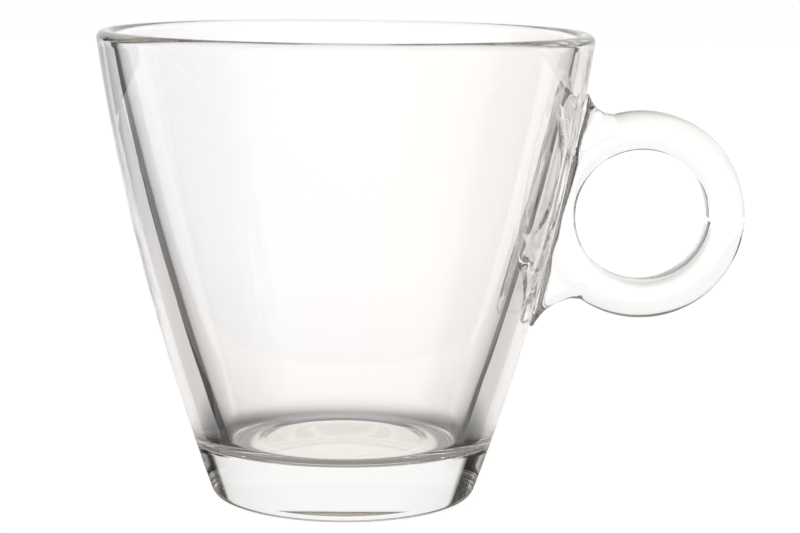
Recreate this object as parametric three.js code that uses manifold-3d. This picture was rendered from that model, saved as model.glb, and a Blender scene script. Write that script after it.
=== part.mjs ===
// Glass cappuccino cup: a pressed bowl with a heavy solid foot, and a ring handle fused to its wall.
// Sizes are in millimetres. The origin is the middle of the flat base, +Z is up and the handle points to +X.
import * as THREE from "three";
import { mergeVertices } from "three/addons/utils/BufferGeometryUtils.js";
import Module from "manifold-3d";

// The bowl. Both walls are gently bowed lines between a lower and an upper radius.
const bowlHeight = 84;
const rimRadius = 44.38; // outer wall at the height of the lip's top
const footRadius = 23.33; // outer wall carried down to the table
const outerBow = 2.39; // how far the outer wall swells past a straight cone
const footRound = 1.7; // run of the rounded corner along the base and up the wall
const baseThickness = 10.75;
const rimWall = 2.95; // glass across the lip
const floorWall = 6.18; // glass across the wall at the height of the inner floor
const innerBow = 1.46;
const floorRound = 2.8; // run of the soft corner between the inner floor and the wall
const dishRadius = 14; // shallow round dish in the middle of the inner floor
const dishSlope = 2; // width of the soft step round the dish
const dishDepth = 0.25;

// The handle. Its ring stands upright in the plane of X and Z.
const ringHeight = 51.65; // middle of the ring above the table
const holeRadius = 11.85; // finger hole
const ringWidth = 6.89; // glass between the hole and the ring's outer edge
const ringDepth = 8.5; // glass from one side of the ring to the other
const throat = 2.65; // thinnest glass between the hole and the bowl
const rootDepth = 7.5; // the root that joins the ring to the bowl, from side to side
const rootEdge = 1.6; // rounding of the root's long edges
const rootRise = 20.75; // where the root's top meets the wall, above the ring's middle
const rootDrop = 19.2; // where the root's underside meets the wall, below the ring's middle
const hollowHeight = 15.43; // level stretch of the root's underside, below the ring's middle
const hollowReach = 3; // from the wall to the bend of that stretch
const crestAngle = 70.5; // degrees from the wall side to where the root's top leaves the ring
const creaseAngle = 52.5; // degrees from the wall side to where its underside leaves the ring

// Clearance between the handle and the wall that it is fused to, and what every cut runs past its piece.
const jointGap = 0.3;
const overrun = 2;

// Superellipse powers of the ring's section: nearly flat towards the hole, round on the outside.
const holeSidePower = 6;
const outerSidePower = 2.1;

// How finely the round forms are divided.
const turns = 64;
const wallSteps = 9;
const cornerSteps = 5;
const lipSteps = 8;
const ringTurns = 60;
const sectionSteps = 18;
const edgeSteps = 4;

const degree = Math.PI / 180;

// A radius that runs from low to high between two heights and swells by bow half way.
function bowedWall(bottom, top, low, high, bow) {
  return (height) => {
    const along = (height - bottom) / (top - bottom);
    return low + (high - low) * along + 4 * bow * along * (1 - along);
  };
}

const outerWall = bowedWall(0, bowlHeight, footRadius, rimRadius, outerBow);
const floorRadius = outerWall(baseThickness) - floorWall;
const innerWall = bowedWall(baseThickness, bowlHeight, floorRadius, rimRadius - rimWall, innerBow);

function evenSteps(from, to, count) {
  return Array.from({ length: count + 1 }, (unused, i) => from + ((to - from) * i) / count);
}

function softCorner(start, corner, end) {
  return new THREE.QuadraticBezierCurve(start, corner, end).getPoints(cornerSteps);
}

const point = (x, y) => new THREE.Vector2(x, y);

// The lip is a half circle that joins the outer wall to the inner one.
function lipOutline() {
  const lipRadius = rimWall / 2;
  const shoulder = bowlHeight - lipRadius;
  const outer = outerWall(shoulder);
  const inner = innerWall(shoulder);
  const middle = (outer + inner) / 2;
  const halfAcross = (outer - inner) / 2;
  return evenSteps(0, Math.PI, lipSteps).map((turn) =>
    point(middle + halfAcross * Math.cos(turn), shoulder + lipRadius * Math.sin(turn)),
  );
}

// From the middle of the base, round the outside, over the lip and down the inside to the middle of the floor.
function bowlOutline() {
  const shoulder = bowlHeight - rimWall / 2;
  const footCorner = softCorner(
    point(footRadius - footRound, 0),
    point(footRadius, 0),
    point(outerWall(footRound), footRound),
  );
  const outside = evenSteps(footRound, shoulder, wallSteps).map((z) => point(outerWall(z), z));
  const innerFoot = baseThickness + floorRound;
  const inside = evenSteps(shoulder, innerFoot, wallSteps).map((z) => point(innerWall(z), z));
  const floorCorner = softCorner(
    point(innerWall(innerFoot), innerFoot),
    point(floorRadius, baseThickness),
    point(floorRadius - floorRound, baseThickness),
  );
  return [
    point(0, 0),
    ...footCorner,
    ...outside.slice(1, -1),
    ...lipOutline(),
    ...inside.slice(1, -1),
    ...floorCorner,
    point(dishRadius + dishSlope, baseThickness),
    point(dishRadius, baseThickness - dishDepth),
    point(0, baseThickness - dishDepth),
  ];
}

// A lathe turns about Y, so its piece is stood up afterwards.
function turned(outline, steps) {
  return new THREE.LatheGeometry(outline, steps).rotateX(Math.PI / 2);
}

const wasm = await Module();
wasm.setup();

function toSolid(geometry) {
  const bare = geometry.clone();
  bare.deleteAttribute("normal");
  bare.deleteAttribute("uv");
  const merged = mergeVertices(bare, 1e-4);
  return new wasm.Manifold(
    new wasm.Mesh({
      numProp: 3,
      vertProperties: merged.attributes.position.array,
      triVerts: new Uint32Array(merged.index.array),
    }),
  );
}

function toGeometry(solid) {
  const cut = solid.getMesh();
  const geometry = new THREE.BufferGeometry();
  geometry.setAttribute("position", new THREE.BufferAttribute(cut.vertProperties, 3));
  geometry.setIndex(new THREE.BufferAttribute(cut.triVerts, 1));
  geometry.computeVertexNormals();
  return geometry;
}

const ringRadius = holeRadius + ringWidth;
const ringReach = outerWall(ringHeight) + throat + holeRadius;

// The ring's section, wound so that its faces point out once it is turned.
function ringOutline() {
  const middle = holeRadius + ringWidth / 2;
  return evenSteps(0, 2 * Math.PI, sectionSteps).map((turn) => {
    const power = Math.cos(turn) < 0 ? holeSidePower : outerSidePower;
    const across = Math.sign(Math.cos(turn)) * Math.abs(Math.cos(turn)) ** (2 / power);
    const along = Math.sign(Math.sin(turn)) * Math.abs(Math.sin(turn)) ** (2 / power);
    return point(middle + (across * ringWidth) / 2, (along * ringDepth) / 2);
  });
}

// The ring lies about Y, which is the axis of its finger hole, in the place where the handle stands.
function ringGeometry() {
  const ring = new THREE.LatheGeometry(ringOutline(), ringTurns);
  return ring.translate(ringReach, 0, ringHeight);
}

// Side view of the root about the ring's middle: over the top, round inside the ring and back underneath.
function rootOutline() {
  const insideRing = holeRadius + ringWidth / 2;
  const wallAt = (rise) => outerWall(ringHeight + rise) - ringReach;
  const onRing = (degrees, radius) =>
    point(-radius * Math.cos(degrees * degree), radius * Math.sin(degrees * degree));
  const crest = onRing(crestAngle, ringRadius - rootEdge);
  const crease = onRing(-creaseAngle, ringRadius - rootEdge);
  const shape = new THREE.Shape();
  shape.moveTo(wallAt(rootRise) - overrun, rootRise - rootEdge);
  shape.lineTo(wallAt(rootRise), rootRise - rootEdge);
  shape.lineTo(crest.x, crest.y);
  evenSteps(crestAngle, -creaseAngle, ringTurns / 4).forEach((degrees) => {
    const inner = onRing(degrees, insideRing);
    shape.lineTo(inner.x, inner.y);
  });
  shape.lineTo(crease.x, crease.y);
  shape.quadraticCurveTo(
    wallAt(-hollowHeight) + hollowReach,
    rootEdge - hollowHeight,
    wallAt(-rootDrop),
    rootEdge - rootDrop,
  );
  shape.lineTo(wallAt(-rootDrop) - overrun, rootEdge - rootDrop);
  return shape;
}

// The root is the outline carried through its depth, with its long edges rounded off.
function rootGeometry() {
  const flatDepth = rootDepth - 2 * rootEdge;
  const root = new THREE.ExtrudeGeometry(rootOutline(), {
    depth: flatDepth,
    bevelThickness: rootEdge,
    bevelSize: rootEdge,
    bevelSegments: edgeSteps,
    curveSegments: cornerSteps,
  });
  root.translate(0, 0, -flatDepth / 2);
  root.rotateX(Math.PI / 2);
  return root.translate(ringReach, 0, ringHeight);
}

// Everything nearer to the bowl than the joint's clearance, which the handle's end is cut to.
function wallCutter() {
  const side = evenSteps(0, bowlHeight, 2 * wallSteps).map((z) => point(outerWall(z) + jointGap, z));
  return turned([point(0, 0), ...side, point(0, bowlHeight)], turns);
}

function handleGeometry() {
  const whole = toSolid(ringGeometry()).add(toSolid(rootGeometry()));
  return toGeometry(whole.subtract(toSolid(wallCutter())));
}

// Clear glass, with the bowl a trace warmer than the handle.
function glass(colour) {
  return new THREE.MeshStandardMaterial({
    color: colour,
    roughness: 0.03,
    metalness: 0,
    transparent: true,
    opacity: 0.35,
  });
}

const bowl = new THREE.Mesh(turned(bowlOutline(), turns), glass("#f3f3f0"));
bowl.name = "bowl";

const handle = new THREE.Mesh(handleGeometry(), glass("#f5f6f8"));
handle.name = "ring_handle";

const cup = new THREE.Group();
cup.add(bowl, handle);

export default cup;
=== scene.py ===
# %% [markdown]
# # A glass cappuccino cup
#
# The cup is clear pressed glass: a flared bowl on a heavy solid foot, and a ring handle that was fused to
# the wall while both were hot. Clear glass has no colour of its own to paint. What you see is the studio,
# bent by the walls, so the shape has to be smooth and exact, and the studio has to be laid out with as much
# care as the cup.

import math
from collections import namedtuple

import bmesh
import bpy
import numpy as np
import openvdb
from mathutils import Matrix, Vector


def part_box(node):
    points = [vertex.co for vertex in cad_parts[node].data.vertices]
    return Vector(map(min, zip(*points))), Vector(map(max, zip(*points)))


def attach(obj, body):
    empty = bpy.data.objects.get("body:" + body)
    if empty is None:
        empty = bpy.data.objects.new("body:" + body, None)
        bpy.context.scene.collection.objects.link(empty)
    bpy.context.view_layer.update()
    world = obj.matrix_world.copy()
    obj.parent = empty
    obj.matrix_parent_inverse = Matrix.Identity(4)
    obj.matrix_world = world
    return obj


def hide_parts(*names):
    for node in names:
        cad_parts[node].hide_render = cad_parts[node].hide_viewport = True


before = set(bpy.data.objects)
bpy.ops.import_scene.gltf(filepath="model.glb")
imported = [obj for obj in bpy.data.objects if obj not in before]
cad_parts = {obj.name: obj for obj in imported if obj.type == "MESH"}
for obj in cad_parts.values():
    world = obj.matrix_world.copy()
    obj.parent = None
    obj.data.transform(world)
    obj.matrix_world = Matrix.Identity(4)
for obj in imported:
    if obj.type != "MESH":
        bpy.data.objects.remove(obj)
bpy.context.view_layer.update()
mm = 0.001
millilitre = (10 * mm) ** 3

# %% [markdown]
# ## Helpers for node trees
#
# Blender builds its node trees from nodes and links. A few small helpers keep that readable: `place` adds
# any node, with its settings first and its sockets after them, and `Field` wraps an output so that sums and
# products of fields read as they would on paper.


# %% Placing nodes
def place(tree, kind, settings=None, values=None):
    """Adds a node, makes its settings and then fills its sockets with numbers or links."""
    node = tree.nodes.new(kind)
    for name, value in (settings or {}).items():
        if name == "stops":
            fill_ramp(node.color_ramp, value)
        else:
            setattr(node, name, value)
    for name, value in (values or {}).items():
        socket = value.socket if isinstance(value, Field) else value
        if isinstance(socket, bpy.types.NodeSocket):
            tree.links.new(socket, node.inputs[name])
        else:
            node.inputs[name].default_value = socket
    return node


def fill_ramp(ramp, stops):
    """Gives a colour ramp its stops, each a position and a colour."""
    while len(ramp.elements) < len(stops):
        ramp.elements.new(1.0)
    for element, (position, colour) in zip(ramp.elements, stops):
        element.position = position
        element.color = opaque(colour)


def opaque(colour):
    return (*colour, 1.0)


def empty_tree(owner):
    """The node tree of a material or a world, with nothing in it yet."""
    owner.use_nodes = True
    owner.node_tree.nodes.clear()
    return owner.node_tree


def mixed_colour(tree, share, first, second):
    """The first colour where the share is 0, the second where it is 1, and a blend between them."""
    mix = place(tree, "ShaderNodeMix", {"data_type": "RGBA"}, {0: share, 6: first, 7: second})
    return mix.outputs[2]


# %% Sums of fields
class Field:
    """A number that varies over a surface, and can be added, scaled and compared."""

    def __init__(self, tree, socket):
        self.tree = tree
        self.socket = socket

    def combine(self, operation, first, second=0.0):
        node = place(self.tree, "ShaderNodeMath", {"operation": operation}, {0: first, 1: second})
        return Field(self.tree, node.outputs[0])

    def __add__(self, other):
        return self.combine("ADD", self, other)

    def __radd__(self, other):
        return self.combine("ADD", other, self)

    def __sub__(self, other):
        return self.combine("SUBTRACT", self, other)

    def __rsub__(self, other):
        return self.combine("SUBTRACT", other, self)

    def __mul__(self, other):
        return self.combine("MULTIPLY", self, other)

    def __rmul__(self, other):
        return self.combine("MULTIPLY", other, self)

    def __pow__(self, other):
        return self.combine("POWER", self, other)

    def __abs__(self):
        return self.combine("ABSOLUTE", self)

    def at_least(self, other):
        return self.combine("MAXIMUM", self, other)

    def at_most(self, other):
        return self.combine("MINIMUM", self, other)

    def smooth(self, low, high):
        """0 below low, 1 above high, and a soft step between them."""
        values = {"Value": self, "From Min": low, "From Max": high}
        node = place(self.tree, "ShaderNodeMapRange", {"interpolation_type": "SMOOTHSTEP"}, values)
        return Field(self.tree, node.outputs["Result"])


def distance(across, along):
    return (across * across + along * along) ** 0.5


def bearing_of(x, y):
    """Degrees clockwise from straight behind the cup, as seen from above."""
    return x.combine("ARCTAN2", x, y) * (180 / math.pi)


# %% [markdown]
# ## The bowl's outline
#
# The mould turns both walls as gently bowed lines. The outer one runs from the table to the lip, the inner
# one from the floor to the lip. The corner under the foot and the one round the inner floor are soft, and
# the lip was melted round by a flame, so it is a half circle. You could draw all this by hand as a curve.
# Here each stretch is a formula of a few sizes instead, because clear glass shows every kink in its walls.

# %% Sizes of the bowl
bowl_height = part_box("bowl")[1].z
rim_radius = 44.38 * mm
foot_radius = 23.33 * mm
outer_bow = 2.39 * mm
foot_round = 1.7 * mm
base_thickness = 10.75 * mm
rim_wall = 2.95 * mm
floor_wall = 6.18 * mm
inner_bow = 1.46 * mm
floor_round = 2.8 * mm
dish_radius = 14 * mm
dish_slope = 2 * mm
dish_depth = 0.25 * mm


def bowed_wall(bottom, top, low, high, bow):
    """A radius that runs from low to high between two heights and swells by bow half way."""

    def radius(height):
        along = (height - bottom) / (top - bottom)
        return low + (high - low) * along + 4 * bow * along * (1 - along)

    return radius


outer_wall = bowed_wall(0, bowl_height, foot_radius, rim_radius, outer_bow)
floor_radius = outer_wall(base_thickness) - floor_wall
inner_wall = bowed_wall(base_thickness, bowl_height, floor_radius, rim_radius - rim_wall, inner_bow)
print("inner floor is", round(2 * floor_radius / mm, 1), "mm across")


# %% Parts of the outline, as pairs of radius and height
def soft_corner(start, corner, end, steps=18):
    """Points of a rounded corner."""
    t = np.linspace(0, 1, steps + 1)[:, None]
    start, corner, end = map(np.array, (start, corner, end))
    return (1 - t) ** 2 * start + 2 * t * (1 - t) * corner + t**2 * end


def wall_points(wall, start, end, step=0.8 * mm):
    heights = np.linspace(start, end, int(abs(end - start) / step) + 1)
    return np.column_stack([wall(heights), heights])


def lip_points(shoulder, steps=26):
    turn = np.linspace(0, math.pi, steps + 1)
    middle = (outer_wall(shoulder) + inner_wall(shoulder)) / 2
    half = (outer_wall(shoulder) - inner_wall(shoulder)) / 2
    return np.column_stack([middle + half * np.cos(turn), shoulder + rim_wall / 2 * np.sin(turn)])


def base_points(steps=11):
    """The flat underside, from the middle to the start of its rounded corner."""
    radii = np.linspace(0, foot_radius - foot_round, steps + 1)[:-1]
    return np.column_stack([radii, np.zeros(steps)])


def dish_points(steps=12):
    """The inner floor: level, a soft step down into the shallow dish, and level to the middle."""
    edge = np.linspace(dish_radius + dish_slope, dish_radius, steps + 1)
    share = (edge - dish_radius) / dish_slope
    level = base_thickness - dish_depth * (1 - share**2 * (3 - 2 * share))
    inward = np.linspace(dish_radius, 0, 2 * steps)[1:]
    middle = np.full_like(inward, base_thickness - dish_depth)
    return np.vstack([np.column_stack([edge, level]), np.column_stack([inward, middle])])


# %% The whole outline
def bowl_outline():
    """From the middle of the base, round the outside, over the lip and down to the middle of the floor."""
    shoulder = bowl_height - rim_wall / 2
    inner_foot = base_thickness + floor_round
    foot_corner = soft_corner(
        (foot_radius - foot_round, 0), (foot_radius, 0), (outer_wall(foot_round), foot_round)
    )
    floor_corner = soft_corner(
        (inner_wall(inner_foot), inner_foot),
        (floor_radius, base_thickness),
        (floor_radius - floor_round, base_thickness),
    )
    return np.vstack(
        [
            base_points(),
            foot_corner,
            wall_points(outer_wall, foot_round, shoulder)[1:-1],
            lip_points(shoulder),
            wall_points(inner_wall, shoulder, inner_foot)[1:-1],
            floor_corner,
            dish_points(),
        ]
    )


outline = bowl_outline()
print("bowl outline:", len(outline), "points")

# %% [markdown]
# ## Turning the bowl
#
# A bowl of pressed glass is a turned shape, and its shape follows one rule: carry the outline round the
# axis. The Screw modifier can turn an outline too. A node tree was chosen because it has named inputs for
# its sizes and puts the glass on in the same step. Its Curve to Mesh carries the profile along a circle. A
# circle of no radius has no direction to follow, so the circle is a thin arbor, and the profile is drawn
# from the arbor's surface.

# %% A lathe in Geometry Nodes
arbor = 1 * mm
weld = 0.0005 * mm
steps_round = 192


def lathe_tree():
    tree = bpy.data.node_groups.new("turned glass", "GeometryNodeTree")
    ports = tree.interface
    ports.new_socket("Profile", in_out="INPUT", socket_type="NodeSocketGeometry")
    ports.new_socket("Steps round", in_out="INPUT", socket_type="NodeSocketInt")
    ports.new_socket("Arbor radius", in_out="INPUT", socket_type="NodeSocketFloat")
    ports.new_socket("Glass", in_out="INPUT", socket_type="NodeSocketMaterial")
    ports.new_socket("Geometry", in_out="OUTPUT", socket_type="NodeSocketGeometry")
    given = place(tree, "NodeGroupInput").outputs
    profile = place(tree, "GeometryNodeMeshToCurve", values={"Mesh": given["Profile"]})
    circle = place(
        tree,
        "GeometryNodeCurvePrimitiveCircle",
        {"mode": "RADIUS"},
        {"Resolution": given["Steps round"], "Radius": given["Arbor radius"]},
    )
    turned = place(
        tree,
        "GeometryNodeCurveToMesh",
        values={"Curve": circle.outputs["Curve"], "Profile Curve": profile.outputs["Curve"]},
    )
    closed = place(
        tree, "GeometryNodeMergeByDistance", values={"Geometry": turned.outputs[0], "Distance": weld}
    )
    smooth = place(
        tree, "GeometryNodeSetShadeSmooth", values={"Geometry": closed.outputs[0], "Shade Smooth": True}
    )
    real = place(tree, "GeometryNodeRealizeInstances", values={"Geometry": smooth.outputs[0]})
    glazed = place(
        tree, "GeometryNodeSetMaterial", values={"Geometry": real.outputs[0], "Material": given["Glass"]}
    )
    place(tree, "NodeGroupOutput", values={"Geometry": glazed.outputs[0]})
    return tree


# %% From modifiers to plain meshes
def link(name, mesh):
    piece = bpy.data.objects.new(name, mesh)
    bpy.context.scene.collection.objects.link(piece)
    return piece


def evaluated_mesh(piece, name):
    """The mesh that an object's modifiers make, as a plain mesh."""
    graph = bpy.context.evaluated_depsgraph_get()
    mesh = bpy.data.meshes.new_from_object(piece.evaluated_get(graph), depsgraph=graph)
    mesh.name = name
    return mesh


def point_outwards(mesh):
    """Turns a closed mesh's faces outwards if they point in."""
    shell = bmesh.new()
    shell.from_mesh(mesh)
    volume = shell.calc_volume(signed=True)
    shell.free()
    if volume < 0:
        mesh.flip_normals()
    return abs(volume)


# %% Turning the outline
def turn(name, points, glass):
    """Turns an outline of radius and height round +Z. The circle carries a profile's +Y along -Z."""
    flat = [(radius - arbor, -height, 0) for radius, height in points]
    edges = [(i, i + 1) for i in range(len(flat) - 1)]
    profile = bpy.data.meshes.new(name + " profile")
    profile.from_pydata(flat, edges, [])
    maker = link(name + " profile", profile)
    lathe = maker.modifiers.new("lathe", "NODES")
    lathe.node_group = lathe_tree()
    chosen = {"Steps round": steps_round, "Arbor radius": arbor, "Glass": glass}
    for item in lathe.node_group.interface.items_tree:
        if item.name in chosen:
            lathe[item.identifier] = chosen[item.name]
    mesh = evaluated_mesh(maker, name)
    bpy.data.objects.remove(maker)
    return mesh


bowl_glass = bpy.data.materials.new("bowl glass")
handle_glass = bpy.data.materials.new("handle glass")
bowl_mesh = turn("bowl", outline, bowl_glass)
bowl_volume = point_outwards(bowl_mesh)
print("bowl:", len(bowl_mesh.polygons), "faces,", round(bowl_volume / millilitre, 1), "millilitres of glass")

# %% [markdown]
# ## The handle as a distance
#
# The handle is a ring and a root that melted together, with soft hollows where they meet. Edges like these
# are hard to bevel but easy to write as distances: a formula gives how far any point is from the ring,
# another how far it is from the root, and a third joins two distances with a round fillet. Where the result
# is zero is the glass.

# %% Sizes of the handle
ring_height = 51.65 * mm
hole_radius = 11.85 * mm
ring_width = 6.89 * mm
ring_depth = 8.5 * mm
throat = 2.65 * mm
root_depth = 7.5 * mm
root_edge = 1.6 * mm
root_rise = 20.75 * mm
root_drop = 19.2 * mm
hollow_height = 15.43 * mm
hollow_reach = 3 * mm
crest_angle = math.radians(70.5)
crease_angle = math.radians(52.5)
hole_side_power = 6.0
outer_side_power = 2.1
crease_fillet = 1.4 * mm
ring_reach = outer_wall(ring_height) + throat + hole_radius
ring_radius = hole_radius + ring_width
print("the ring's outer edge reaches", round((ring_reach + ring_radius) / mm, 1), "mm from the bowl's axis")


# %% The ring and the fillet
smallest = 1e-6


def ring_distance(x, y, z):
    """The ring's section is nearly flat towards the finger and round on the outside."""
    half_width, half_depth = ring_width / 2, ring_depth / 2
    from_middle = np.hypot(x - ring_reach, z - ring_height) - hole_radius - half_width
    across = np.abs(from_middle) / half_width
    along = np.abs(y) / half_depth
    power = np.where(from_middle < 0, hole_side_power, outer_side_power)
    size = np.maximum((across**power + along**power) ** (1 / power), smallest)
    slope_across = (across / size) ** (power - 1) / half_width
    slope_along = (along / size) ** (power - 1) / half_depth
    return (size - 1) / np.maximum(np.hypot(slope_across, slope_along), smallest)


def filleted(first, second, radius):
    """Joins two bodies, given as distances, with a round fillet between them."""
    inside = np.hypot(np.maximum(radius - first, 0), np.maximum(radius - second, 0))
    return np.maximum(radius, np.minimum(first, second)) - inside


# %% The root's side view
into_wall = 4 * mm


def root_outline(steps=60):
    """Side view of the root about the ring's middle, as pairs of X and Z."""
    inside_ring = hole_radius + ring_width / 2

    def wall_at(rise):
        return outer_wall(ring_height + rise) - ring_reach

    def on_ring(angle, radius):
        return np.column_stack([-radius * np.cos(angle), radius * np.sin(angle)])

    crest = on_ring(np.array([crest_angle]), ring_radius)
    inner_arc = on_ring(np.linspace(crest_angle, -crease_angle, steps), inside_ring)
    crease = on_ring(np.array([-crease_angle]), ring_radius)[0]
    bend = (wall_at(-hollow_height) + hollow_reach, -hollow_height)
    underside = soft_corner(crease, bend, (wall_at(-root_drop), -root_drop), steps)
    top = [(wall_at(root_rise) - into_wall, root_rise), (wall_at(root_rise), root_rise)]
    end = [(wall_at(-root_drop) - into_wall, -root_drop)]
    return np.vstack([top, crest, inner_arc, underside, end])


root_points = root_outline()
print("root outline:", len(root_points), "points")


# %% Distance to the root
def outline_distance(x, z):
    """Signed distance to the root's side view, negative inside it."""
    nearest = np.full(x.shape, np.inf)
    inside = np.zeros(x.shape, bool)
    for (ax, az), (bx, bz) in zip(root_points, np.roll(root_points, -1, axis=0)):
        dx, dz = bx - ax, bz - az
        along = np.clip(((x - ax) * dx + (z - az) * dz) / (dx * dx + dz * dz), 0, 1)
        nearest = np.minimum(nearest, (x - ax - along * dx) ** 2 + (z - az - along * dz) ** 2)
        if dz != 0:
            inside ^= ((az > z) != (bz > z)) & (x < ax + (z - az) * dx / dz)
    return np.sqrt(nearest) * np.where(inside, -1, 1)


def root_distance(y, side_view):
    """The side view carried through the root's depth, with rounded long edges."""
    outward = side_view + root_edge
    sideways = np.abs(y) - (root_depth / 2 - root_edge)
    corner = np.hypot(np.maximum(outward, 0), np.maximum(sideways, 0))
    return np.minimum(np.maximum(outward, sideways), 0) + corner - root_edge


# %% [markdown]
# The seam with the bowl is a fillet too, wider at the root's ends than beside the ring. If it ran out along
# the wall it would end in an edge with no thickness, so the fillet is made against a wall a little further
# in, and crosses the real wall at a clear angle. The handle then ends in a stub inside the wall, which the
# union of the two solids swallows.

# %% Handle, seam and stub
wall_tilt = math.atan((outer_wall(ring_height + mm) - outer_wall(ring_height)) / mm)
seam_fillet = 1.0 * mm
seam_flare = 2.1 * mm
seam_sink = 0.25 * mm
stub_margin = 1 * mm
stub_depth = 1 * mm
print("beside the ring the wall leans out by", round(math.degrees(wall_tilt), 1), "degrees")


def wall_distance(x, y, z):
    return (np.hypot(x, y) - outer_wall(z)) * math.cos(wall_tilt)


def handle_distance(x, y, z, side_view=None):
    if side_view is None:
        side_view = outline_distance(x - ring_reach, z - ring_height)
    body = filleted(ring_distance(x, y, z), root_distance(y, side_view), crease_fillet)
    wall = wall_distance(x, y, z)
    seam_radius = seam_fillet + seam_flare * np.clip(np.abs(z - ring_height) / root_rise, 0, 1)
    seam = filleted(body, wall + seam_sink, seam_radius)
    return np.maximum(np.maximum(seam, body - stub_margin), -(wall + stub_depth))


def handle_slope(points, reach=0.01 * mm):
    """Direction in which the distance grows, which is the surface's outward direction."""
    slope = np.empty_like(points)
    for axis in range(3):
        shift = np.zeros(3)
        shift[axis] = reach
        ahead = handle_distance(*(points + shift).T)
        behind = handle_distance(*(points - shift).T)
        slope[:, axis] = (ahead - behind) / (2 * reach)
    return slope


# %% [markdown]
# A grid of distances turns into faces by the same method that makes meshes of smoke and liquids. It leaves
# the points a few hundredths of a millimetre off, which clear glass would show as ripples, so each point
# then walks along the slope until its distance is zero.

# %% A grid of distances
grid_low = np.array([31, -6, 29]) * mm
grid_high = np.array([74.5, 6, 75.5]) * mm
grid_cell = 0.33 * mm


def handle_grid():
    axes = [np.arange(start, stop, grid_cell) for start, stop in zip(grid_low, grid_high)]
    side_x, side_z = np.meshgrid(axes[0] - ring_reach, axes[2] - ring_height, indexing="ij")
    side_view = outline_distance(side_x, side_z)[:, None, :]
    x, y, z = np.meshgrid(*axes, indexing="ij")
    return handle_distance(x, y, z, np.broadcast_to(side_view, x.shape))


# %% From distances to a mesh
longest_walk = 0.6 * grid_cell
least_slope = 0.2


def handle_surface(walks=4):
    grid = openvdb.FloatGrid(1.0)
    grid.copyFromArray((handle_grid() / grid_cell).astype(np.float32))
    points, faces = grid.convertToQuads(isovalue=0.0)
    points = points.astype(float) * grid_cell + grid_low
    for _ in range(walks):
        slope = handle_slope(points)
        walk = handle_distance(*points.T) / np.maximum((slope**2).sum(axis=1), least_slope)
        points -= slope * np.clip(walk, -longest_walk, longest_walk)[:, None]
    mesh = bpy.data.meshes.new("ring_handle")
    mesh.from_pydata(points.tolist(), [], faces.tolist())
    mesh.materials.append(handle_glass)
    return mesh


handle_mesh = handle_surface()
handle_volume = point_outwards(handle_mesh)
print("handle:", len(handle_mesh.polygons), "faces,", round(handle_volume / millilitre, 2), "millilitres")

# %% [markdown]
# ## Fusing the handle to the bowl
#
# Where two pieces of clear glass have melted into one, light meets no surface, so the seam must not act as
# one. Two solids that merely overlap would show a false surface inside the glass, and solids joined for
# good would no longer be two pieces. So they are joined once with an exact boolean, which puts one ring of
# points round the seam. The result is then parted again along that ring, and each part is closed by the
# same contact face. The contact faces are the only place where the pieces touch, and they get a material
# that light passes as if nothing were there.


# %% Join the two solids
def union(first, second):
    """Both solids as one shell, each face keeping the glass it came with."""
    base = link("union base", first)
    other = link("union other", second)
    join = base.modifiers.new("join", "BOOLEAN")
    join.operation = "UNION"
    join.solver = "EXACT"
    join.material_mode = "TRANSFER"
    join.object = other
    mesh = evaluated_mesh(base, "fused cup")
    bpy.data.objects.remove(base)
    bpy.data.objects.remove(other)
    return mesh


fused_mesh = union(bowl_mesh, handle_mesh)
print("fused cup:", len(fused_mesh.polygons), "faces")


# %% Part them again and close both
def part_with_contact(fused, glass, name):
    """The faces of one glass, closed at the seam by a contact face of the second material slot."""
    glass_index = [material.name for material in fused.materials].index(glass.name)
    shell = bmesh.new()
    shell.from_mesh(fused)
    others = [face for face in shell.faces if face.material_index != glass_index]
    bmesh.ops.delete(shell, geom=others, context="FACES")
    for face in shell.faces:
        face.material_index = 0
    seam = [edge for edge in shell.edges if edge.is_boundary]
    filled = bmesh.ops.triangle_fill(shell, edges=seam, use_beauty=True)
    contact = [item for item in filled["geom"] if isinstance(item, bmesh.types.BMFace)]
    for face in contact:
        face.material_index = 1
    bmesh.ops.recalc_face_normals(shell, faces=shell.faces)
    for face in shell.faces:
        face.smooth = face.material_index == 0
    for edge in seam:
        edge.smooth = False
    mesh = bpy.data.meshes.new(name)
    shell.to_mesh(mesh)
    open_edges = sum(not edge.is_manifold for edge in shell.edges)
    shell.free()
    print(name, "has", len(mesh.polygons), "faces,", len(contact), "in contact,", open_edges, "open edges")
    return mesh


bowl_part = part_with_contact(fused_mesh, bowl_glass, "bowl")
handle_part = part_with_contact(fused_mesh, handle_glass, "ring_handle")
bowl_piece = link("pressed_bowl", bowl_part)
handle_piece = link("fused_ring_handle", handle_part)

# %% [markdown]
# ## Clear glass
#
# Pressed glass is a little wavy, because the mould and the plunger leave it so. A wide, very faint noise in
# a Bump node does that without touching the shape. The glass lets nearly all light through. The Glass node
# would do for that, but Principled also has a coat, and a very thin tinted one gives the olive tone of
# thick glass: light that runs along inside a wall meets the surface many times and turns olive, while light
# that goes straight through keeps its colour.

# %% The glass
wave_scale = 60.0
wave_detail = 2.0
wave_strength = 0.02
wave_height = 1 * mm
refraction = 1.52
clearness = 0.995
coat_weight = 0.022
coat_tint = (0.34, 0.26, 0.10)


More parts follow.
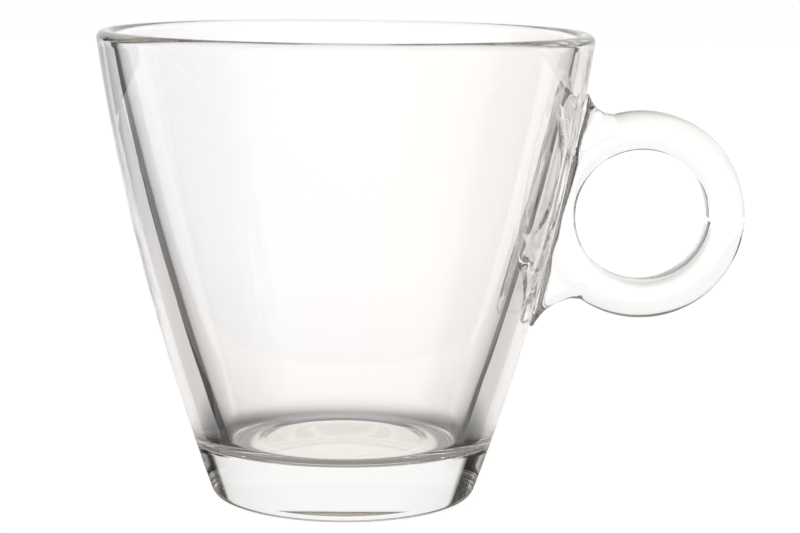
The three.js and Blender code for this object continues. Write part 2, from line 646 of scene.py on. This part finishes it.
def fill_glass(material):
    tree = empty_tree(material)
    where = place(tree, "ShaderNodeTexCoord").outputs["Object"]
    waves = place(
        tree, "ShaderNodeTexNoise", values={"Vector": where, "Scale": wave_scale, "Detail": wave_detail}
    )
    bump = place(
        tree,
        "ShaderNodeBump",
        values={"Height": waves.outputs["Fac"], "Strength": wave_strength, "Distance": wave_height},
    )
    surface = place(
        tree,
        "ShaderNodeBsdfPrincipled",
        values={
            "Base Color": (1.0, 1.0, 1.0, 1.0),
            "Roughness": 0.0,
            "IOR": refraction,
            "Transmission Weight": clearness,
            "Coat Weight": coat_weight,
            "Coat Tint": opaque(coat_tint),
            "Normal": bump.outputs["Normal"],
        },
    )
    place(tree, "ShaderNodeOutputMaterial", values={"Surface": surface.outputs[0]})
    return material


# %% The contact face
def contact_material():
    """A face that light passes as if nothing were there."""
    material = bpy.data.materials.new("fused contact")
    tree = empty_tree(material)
    surface = place(tree, "ShaderNodeBsdfPrincipled", values={"Alpha": 0.0})
    place(tree, "ShaderNodeOutputMaterial", values={"Surface": surface.outputs[0]})
    return material


contact = contact_material()
for part, glass in ((bowl_part, bowl_glass), (handle_part, handle_glass)):
    part.materials.append(fill_glass(glass))
    part.materials.append(contact)
    print(part.name, "wears", [material.name for material in part.materials])

# %% [markdown]
# ## The studio
#
# Clear glass is drawn by what stands around it. Lamps alone would leave it nearly unseen, because their
# light goes through it instead of lighting it up. The walls bend the view, so each edge shows another part
# of the room, and the studio is laid out for that. The camera itself sees only white: a white floor and a
# white room. Through the glass it also sees dark cards beside the cup, two dark strips of paper on the
# table, and a table that is in shade close to the foot. These are hidden from the camera, throw no shadow
# and give no light to the floor, so all they do is to draw the glass.


# %% Plain paints
def plain_paint(name, shade, glow=0.0):
    """A matt grey paint that may also glow a little, as a lit table does."""
    material = bpy.data.materials.new(name)
    tree = empty_tree(material)
    matt = place(tree, "ShaderNodeBsdfDiffuse", values={"Color": (shade, shade, shade, 1.0)})
    light = place(tree, "ShaderNodeEmission", values={"Color": (1.0, 1.0, 1.0, 1.0), "Strength": glow})
    both = place(tree, "ShaderNodeAddShader", values={0: matt.outputs[0], 1: light.outputs[0]})
    place(tree, "ShaderNodeOutputMaterial", values={"Surface": both.outputs[0]})
    return material


def flat_object(name, corners, paint):
    mesh = bpy.data.meshes.new(name)
    mesh.from_pydata(corners, [], [tuple(range(len(corners)))])
    mesh.materials.append(paint)
    flat = link(name, mesh)
    return flat


def only_through_glass(prop):
    """Keeps a prop to what glass shows and reflects."""
    prop.visible_camera = False
    prop.visible_diffuse = False
    prop.visible_shadow = False
    print("prop:", prop.name)


# %% The floor
floor_half = 1.5
below_foot = -0.02 * mm
floor_shade = 0.8
floor_glow = 0.76
floor_corners = [
    (-floor_half, -floor_half, below_foot),
    (floor_half, -floor_half, below_foot),
    (floor_half, floor_half, below_foot),
    (-floor_half, floor_half, below_foot),
]
flat_object("studio_floor", floor_corners, plain_paint("studio floor", floor_shade, floor_glow))
print("floor:", 2 * floor_half, "metres across")

# %% [markdown]
# The standing cards draw the dark corner under the lip at each side and the dark sides of the solid foot. A
# dark tone painted on the glass would stay where it is when the view moves, while the image of a card moves
# as it does in real glass. The cards stop short of the table, because a lower one blackens the edge of the
# finger hole too.

# %% Dark cards
card_distance = 270 * mm
card_foot = 25 * mm
card_top = 140 * mm
card_shade = 0.02


def standing_card(name, near_bearing, far_bearing):
    """A card on edge beside the cup, between two bearings clockwise from straight behind it."""
    ends = []
    for bearing in (near_bearing, far_bearing):
        turned_by = math.radians(bearing)
        ends.append((card_distance * math.sin(turned_by), card_distance * math.cos(turned_by)))
    (ax, ay), (bx, by) = ends
    corners = [(ax, ay, card_foot), (bx, by, card_foot), (bx, by, card_top), (ax, ay, card_top)]
    return flat_object(name, corners, plain_paint(name, card_shade))


only_through_glass(standing_card("left card", near_bearing=-44, far_bearing=-80))
only_through_glass(standing_card("right card", near_bearing=51, far_bearing=84))

# %% [markdown]
# The lying strips start beside the foot and bend away behind the cup. Each wall shows its strip as one long
# dark line from the lip to the inner floor. A standing card would be the usual way to draw a line in glass,
# but in these places the walls look down at the table, so that is where the paper lies. The right strip is
# paler, as its line is in the photo.

# %% Dark strips
strip_rise = 0.4 * mm
strip_back = [(35, 2), (41, 4), (58, 17), (88, 46), (123, 87), (165, 144), (216, 225), (252, 292)]
strip_front = [(320, 240), (200, 90), (60, -10), (35, -8)]


def lying_strip(name, side, shade):
    """A bent strip of paper on the table, left of the cup (side -1) or right of it (side 1)."""
    corners = [(side * x * mm, y * mm, strip_rise) for x, y in strip_back + strip_front]
    return flat_object(name, corners, plain_paint(name, shade))


only_through_glass(lying_strip("left strip", side=-1, shade=0.09))
only_through_glass(lying_strip("right strip", side=1, shade=0.35))

# %% [markdown]
# The table's shade gives the foot its grey and the inner floor its dark line: it is dark where the foot
# meets the table, dimmer out at both sides, and bright and warm under the foot, where light gathers. Lamps
# could make such light too, but only slowly, since it has to pass the glass on its way. So the light is a
# formula of the place on the table, painted on a disc that lies a hair above the floor. The painted light is
# also a little brighter in front of a straight edge behind the cup, and that edge shows as one faint arc
# across the bowl.

# %% Light on the table, place by place
shade_reach = 220 * mm
shade_shift = 6 * mm
foot_half = 24 * mm
far_light = 1.12
light_by_distance = [
    # millimetres from a line under the foot, light
    (14, 0.06),
    (17, 0.18),
    (20, 0.28),
    (24, 0.40),
    (32, 0.70),
    (41, 0.86),
    (54, 0.96),
    (80, 1.03),
    (125, 1.07),
    (200, far_light),
]
side_dimming = 0.38
side_bearings = (16.0, 60.0, 120.0, 160.0)
side_fading = (250 * mm, 400 * mm)


def open_table(x, y):
    """Light on the table round the foot: darker near it, and dimmer at its sides than behind it."""
    across = abs(x)
    beside = (across - foot_half).at_least(0.0)
    stops = [(far * mm / shade_reach, (light, light, light)) for far, light in light_by_distance]
    from_foot = distance(beside, y - shade_shift) * (1 / shade_reach)
    fade = place(x.tree, "ShaderNodeValToRGB", {"stops": stops}, {"Fac": from_foot})
    bearing = bearing_of(across, y)
    starts, full, ends, gone = side_bearings
    sideways = bearing.smooth(starts, full) * (1 - bearing.smooth(ends, gone))
    sideways = sideways * (1 - distance(across, y).smooth(*side_fading))
    return Field(x.tree, fade.outputs["Color"]).at_most(far_light - side_dimming * sideways)


# %% Light and tone of the table
under_foot = 23.4 * mm
under_soft = 0.4 * mm
under_light = 0.26
bright_shift = 5.8 * mm
bright_start = 17.5 * mm
bright_end = 19 * mm
bright_light = 1.0
# painted light: the table glows a little brighter in front of a straight edge behind the cup
light_step_edge = 104 * mm
light_step_soft = 2 * mm
light_step_gain = 0.035
tone_half = 60 * mm
cool_tone = (0.985, 0.975, 1.0)
light_step_tone = (1.0, 0.98, 0.965)
warm_tone = (1.0, 0.93, 0.86)


def table_paint():
    material = bpy.data.materials.new("table shade")
    tree = empty_tree(material)
    where = place(tree, "ShaderNodeTexCoord").outputs["Object"]
    axes = place(tree, "ShaderNodeSeparateXYZ", values={"Vector": where}).outputs
    x, y = Field(tree, axes["X"]), Field(tree, axes["Y"])
    clear_of_foot = distance(x, y).smooth(under_foot - under_soft, under_foot + under_soft)
    table = open_table(x, y) * clear_of_foot + under_light * (1 - clear_of_foot)
    # painted light: brighter in front of the edge behind the cup, with its own tone there
    before_light_step = 1 - y.smooth(light_step_edge, light_step_edge + light_step_soft)
    table = table * (1 + light_step_gain * before_light_step)
    bright = 1 - distance(x, y - bright_shift).smooth(bright_start, bright_end)
    light = table * (1 - bright) + bright_light * bright
    warmth = before_light_step.at_least(x.smooth(-tone_half, tone_half))
    tone = mixed_colour(tree, warmth, opaque(cool_tone), opaque(light_step_tone))
    tone = mixed_colour(tree, bright, tone, opaque(warm_tone))
    lit = place(tree, "ShaderNodeVectorMath", {"operation": "SCALE"}, {0: tone, "Scale": light})
    glow = place(tree, "ShaderNodeEmission", values={"Color": lit.outputs["Vector"], "Strength": 1.0})
    place(tree, "ShaderNodeOutputMaterial", values={"Surface": glow.outputs[0]})
    return material


# %% The disc on the table
disc_radius = 1.2
disc_steps = 64
disc_corners = []
for step in range(disc_steps):
    turned_by = 2 * math.pi * step / disc_steps
    disc_corners.append(
        (disc_radius * math.cos(turned_by), disc_radius * math.sin(turned_by), below_foot / 2)
    )
only_through_glass(flat_object("table shade", disc_corners, table_paint()))

# %% [markdown]
# A panorama of a real studio could stand for the room beyond, but here it is painted by direction, because
# patches can be moved until each lands in the edge that it should draw. Each patch has a bearing and a
# height above the horizon, and ends softly. The sweep behind the cup is white, and so is the wall behind
# the camera, which the bowl's back wall reflects. Between them the room is dim, and that gives the foot,
# the lip and the ring their outlines. Later patches lie over earlier ones. The camera sees plain white
# instead of all this.

# %% The room, patch by patch
Patch = namedtuple("Patch", "bearing half_width lowest highest soft_edge colour")
room_colour = (0.15, 0.135, 0.11)
patches = [
    # all angles are degrees: ceiling, wall behind the camera, sweep, and a dark board low at each side
    Patch(0.0, 180, 50, 90, 12, (0.26, 0.24, 0.21)),
    Patch(-170.0, 76, -20, 38, 34, (1.0, 0.97, 0.95)),
    Patch(3.0, 49, -90, 30, 6, (1.0, 1.0, 1.0)),
    Patch(64.0, 28, 1.5, 12, 2, (0.03, 0.025, 0.02)),
    Patch(-64.0, 28, 1.5, 12, 2, (0.03, 0.025, 0.02)),
]
print("the room has", len(patches), "patches")


def patch_mask(bearing, height, patch):
    """1 on the patch and 0 off it, as a field over the directions."""
    half_turn = {0: bearing - patch.bearing, 1: 180.0, 2: -180.0}
    wrapped = place(bearing.tree, "ShaderNodeMath", {"operation": "WRAP"}, half_turn)
    off_middle = abs(Field(bearing.tree, wrapped.outputs[0]))
    half_soft = patch.soft_edge / 2
    inside = 1 - off_middle.smooth(patch.half_width - half_soft, patch.half_width + half_soft)
    above = height.smooth(patch.lowest - half_soft, patch.lowest + half_soft)
    below = 1 - height.smooth(patch.highest - half_soft, patch.highest + half_soft)
    return inside * above * below


# %% The world
def studio_world():
    world = bpy.data.worlds.new("studio")
    tree = empty_tree(world)
    towards = place(tree, "ShaderNodeTexCoord").outputs["Generated"]
    axes = place(tree, "ShaderNodeSeparateXYZ", values={"Vector": towards}).outputs
    x, y, z = (Field(tree, axes[name]) for name in "XYZ")
    bearing = bearing_of(x, y)
    height = z.combine("ARCSINE", z) * (180 / math.pi)
    colour = opaque(room_colour)
    for patch in patches:
        colour = mixed_colour(tree, patch_mask(bearing, height, patch), colour, opaque(patch.colour))
    room = place(tree, "ShaderNodeBackground", values={"Color": colour, "Strength": 1.0})
    white = place(tree, "ShaderNodeBackground", values={"Color": (1.0, 1.0, 1.0, 1.0), "Strength": 1.0})
    seen = place(tree, "ShaderNodeLightPath").outputs["Is Camera Ray"]
    both = place(tree, "ShaderNodeMixShader", values={0: seen, 1: room.outputs[0], 2: white.outputs[0]})
    place(tree, "ShaderNodeOutputWorld", values={"Surface": both.outputs[0]})
    return world


bpy.context.scene.world = studio_world()
print("world nodes:", len(bpy.context.scene.world.node_tree.nodes))

# %% [markdown]
# ## Camera
#
# A camera can be set by eye, but in glass every small move changes the dark lines. So its place was found
# by fitting the cup's outline to the photo: close to the cup, a little above its rim and tilted down, with
# a long lens.

# %% Camera
camera_data = bpy.data.cameras.new("camera")
camera_data.sensor_width = 36.0
camera_data.lens = 105.0
camera_data.clip_start = 0.01
camera_data.clip_end = 20
camera = bpy.data.objects.new("camera", camera_data)
bpy.context.scene.collection.objects.link(camera)
camera_point = (9.96 * mm, -415.92 * mm, 104.37 * mm)
look_down = math.radians(8.57)
camera_roll = math.radians(0.63)
upright = Matrix.Rotation(math.pi / 2 - look_down, 4, "X")
camera.matrix_world = Matrix.Translation(camera_point) @ upright @ Matrix.Rotation(camera_roll, 4, "Z")
bpy.context.scene.camera = camera
print("camera stands", round(-camera_point[1] / mm), "mm in front of the cup")

# %% [markdown]
# ## Light's path through glass
#
# Light that is caught inside a wall bounces many times before it leaves. Cycles counts such inner
# reflections as glossy bounces and stops after four, which would turn the lip and the seam black, so the
# limits go up.

# %% Bounces
scene = bpy.context.scene
scene.view_settings.view_transform = "Standard"
scene.cycles.max_bounces = 48
scene.cycles.glossy_bounces = 40
scene.cycles.transmission_bounces = 24
scene.cycles.transparent_max_bounces = 16
print("light may bounce", scene.cycles.max_bounces, "times")

# %% [markdown]
# ## Two pieces of one cup
#
# Last, each piece is hung on the body that carries it, and the node of the CAD model that it stands in for
# is hidden. Nothing on the cup moves, so both ride on the same body.

# %% Frame and hidden CAD parts
for piece, node, slot in (
    (bowl_piece, "bowl", "bowl_glass"),
    (handle_piece, "ring_handle", "handle_glass"),
):
    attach(piece, "root")
    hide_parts(node)
